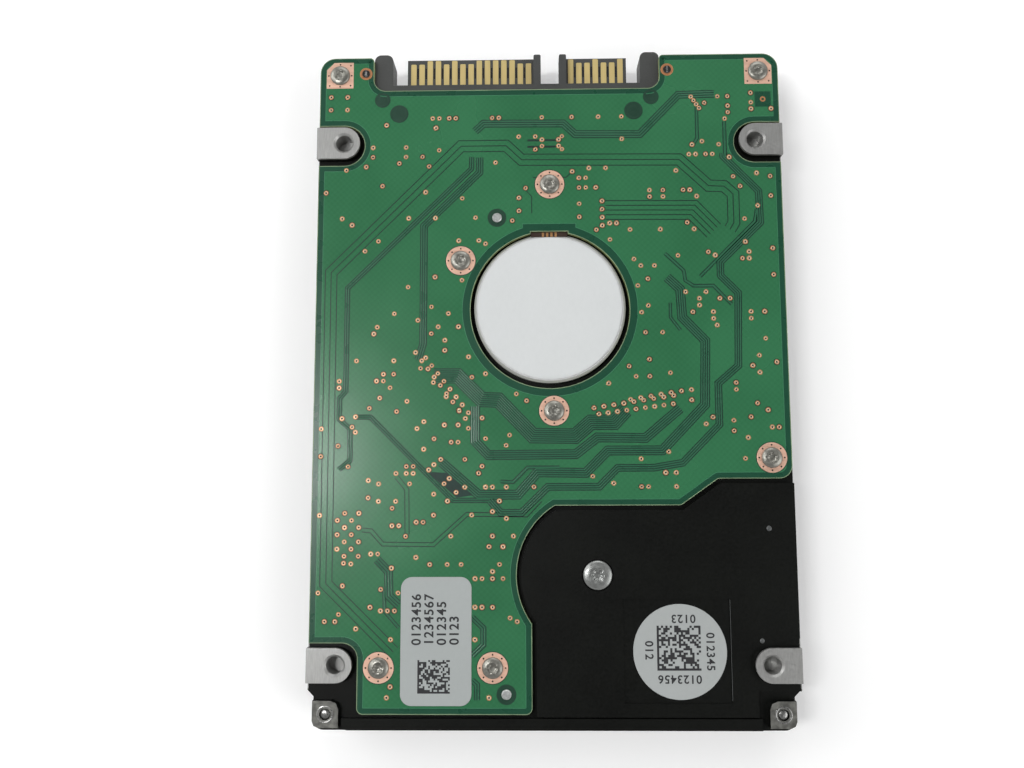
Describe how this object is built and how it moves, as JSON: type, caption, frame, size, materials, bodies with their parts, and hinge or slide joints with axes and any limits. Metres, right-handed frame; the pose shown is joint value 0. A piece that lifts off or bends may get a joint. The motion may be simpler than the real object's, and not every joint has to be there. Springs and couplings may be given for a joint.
{
  "type": "hard disk drive",
  "caption": "Slim internal disk drive for portable computers: cast base with a circuit board, serial connector, discs on a spindle motor and a swinging head arm.",
  "frame": {"origin": "middle of the drive's bounding box in plan, on the resting plane of its cover side", "axes": "+Z out of the circuit-board side, +Y towards the serial connector, +X to the right seen from the circuit-board side"},
  "size_m": [0.0698, 0.1002, 0.0095],
  "materials": {
    "base_casting": "satin black e-coat on cast aluminium, bare at the machined faces",
    "top_cover": "pressed stainless sheet, satin",
    "cover_gasket": "matt moulded rubber",
    "cover_screws": "bright plated steel",
    "cover_label": "semi-matt label, blank",
    "board_label": "silver-white label",
    "round_label": "white label",
    "circuit_board": "green solder mask over copper, satin gloss",
    "board_screws": "plated steel",
    "locating_pins": "turned steel",
    "controller_chip": "moulded epoxy",
    "memory_chip": "moulded epoxy",
    "motor_driver_chip": "moulded epoxy",
    "crystal_oscillator": "metal can",
    "board_capacitors": "ceramic chip",
    "connector_housing": "black glass-filled nylon",
    "power_contacts": "gold plated",
    "signal_contacts": "gold plated",
    "connector_hold_downs": "tinned",
    "motor_bracket": "fine turned aluminium",
    "motor_seal_label": "silver foil label",
    "bearing_sleeve": "ground steel",
    "stator_core": "laminated electrical steel",
    "stator_windings": "enamelled copper wire",
    "pivot_shaft": "ground steel",
    "pivot_screw": "bright plated steel",
    "pivot_inner_races": "ground bearing steel",
    "lower_yoke": "nickel plated steel",
    "upper_yoke": "nickel plated steel",
    "lower_magnet": "nickel plated magnet",
    "upper_magnet": "nickel plated magnet",
    "yoke_posts": "turned steel",
    "flex_bracket": "satin",
    "preamp_connector": "moulded",
    "load_ramp": "cream acetal",
    "ramp_screw": "plated steel",
    "latch_pin": "ground steel",
    "crash_stops": "elastomer",
    "recirculation_filter": "white non-woven",
    "breather_filter": "white membrane",
    "motor_flex": "polyimide ribbon with copper traces",
    "spindle_hub": "turned aluminium",
    "spindle_motor_shaft": "ground steel",
    "rotor_magnet": "bonded magnet",
    "platter_cover_side": "polished disc",
    "platter_board_side": "polished disc",
    "platter_spacer": "turned aluminium",
    "disc_clamp": "spring steel",
    "clamp_screw": "plated steel",
    "pivot_outer_races": "ground bearing steel",
    "pivot_balls": "polished balls",
    "pivot_sleeve": "ground steel",
    "actuator_arm": "machined aluminium",
    "head_suspensions": "etched stainless sheet",
    "head_sliders": "lapped ceramic",
    "voice_coil": "enamelled copper wire",
    "coil_overmould": "moulded polymer",
    "preamp_chip": "moulded epoxy",
    "actuator_flex": "polyimide ribbon",
    "inertia_latch": "moulded acetal"
  },
  "bodies": {
    "enclosure": {"base_casting": "base_casting", "top_cover": "top_cover", "cover_gasket": "cover_gasket", "cover_screws": "cover_screws", "cover_label": "cover_label", "board_label": "board_label", "round_label": "round_label", "circuit_board": "circuit_board", "board_screws": "board_screws", "locating_pins": "locating_pins", "controller_chip": "controller_chip", "memory_chip": "memory_chip", "motor_driver_chip": "motor_driver_chip", "crystal_oscillator": "crystal_oscillator", "board_capacitors": "board_capacitors", "connector_housing": "connector_housing", "power_contacts": "power_contacts", "signal_contacts": "signal_contacts", "connector_hold_downs": "connector_hold_downs", "motor_bracket": "motor_bracket", "motor_seal_label": "motor_seal_label", "bearing_sleeve": "bearing_sleeve", "stator_core": "stator_core", "stator_windings": "stator_windings", "pivot_shaft": "pivot_shaft", "pivot_screw": "pivot_screw", "pivot_inner_races": "pivot_inner_races", "lower_yoke": "lower_yoke", "upper_yoke": "upper_yoke", "lower_magnet": "lower_magnet", "upper_magnet": "upper_magnet", "yoke_posts": "yoke_posts", "flex_bracket": "flex_bracket", "preamp_connector": "preamp_connector", "load_ramp": "load_ramp", "ramp_screw": "ramp_screw", "latch_pin": "latch_pin", "crash_stops": "crash_stops", "recirculation_filter": "recirculation_filter", "breather_filter": "breather_filter", "motor_flex": "motor_flex"},
    "disc_pack": {"spindle_hub": "spindle_hub", "spindle_motor_shaft": "spindle_motor_shaft", "rotor_magnet": "rotor_magnet", "platter_cover_side": "platter_cover_side", "platter_board_side": "platter_board_side", "platter_spacer": "platter_spacer", "disc_clamp": "disc_clamp", "clamp_screw": "clamp_screw"},
    "head_arm": {"pivot_outer_races": "pivot_outer_races", "pivot_balls": "pivot_balls", "pivot_sleeve": "pivot_sleeve", "actuator_arm": "actuator_arm", "head_suspensions": "head_suspensions", "head_sliders": "head_sliders", "voice_coil": "voice_coil", "coil_overmould": "coil_overmould", "preamp_chip": "preamp_chip", "actuator_flex": "actuator_flex"},
    "latch": {"inertia_latch": "inertia_latch"}
  },
  "joints": [
    {"name": "spindle_spin", "type": "hinge", "parent": "enclosure", "child": "disc_pack", "pos_m": [0, 0.01035, 0.003], "axis": [0, 0, 1], "continuous": true},
    {"name": "arm_swing", "type": "hinge", "parent": "enclosure", "child": "head_arm", "pos_m": [0.00653, -0.02857, 0.0035], "axis": [0, 0, -1], "range_deg": [0, 33.5], "deforming": ["actuator_flex"]},
    {"name": "latch_swing", "type": "hinge", "parent": "enclosure", "child": "latch", "pos_m": [0.0293, -0.0206, 0.0033], "axis": [0, 0, 1], "range_deg": [0, 8]}
  ]
}
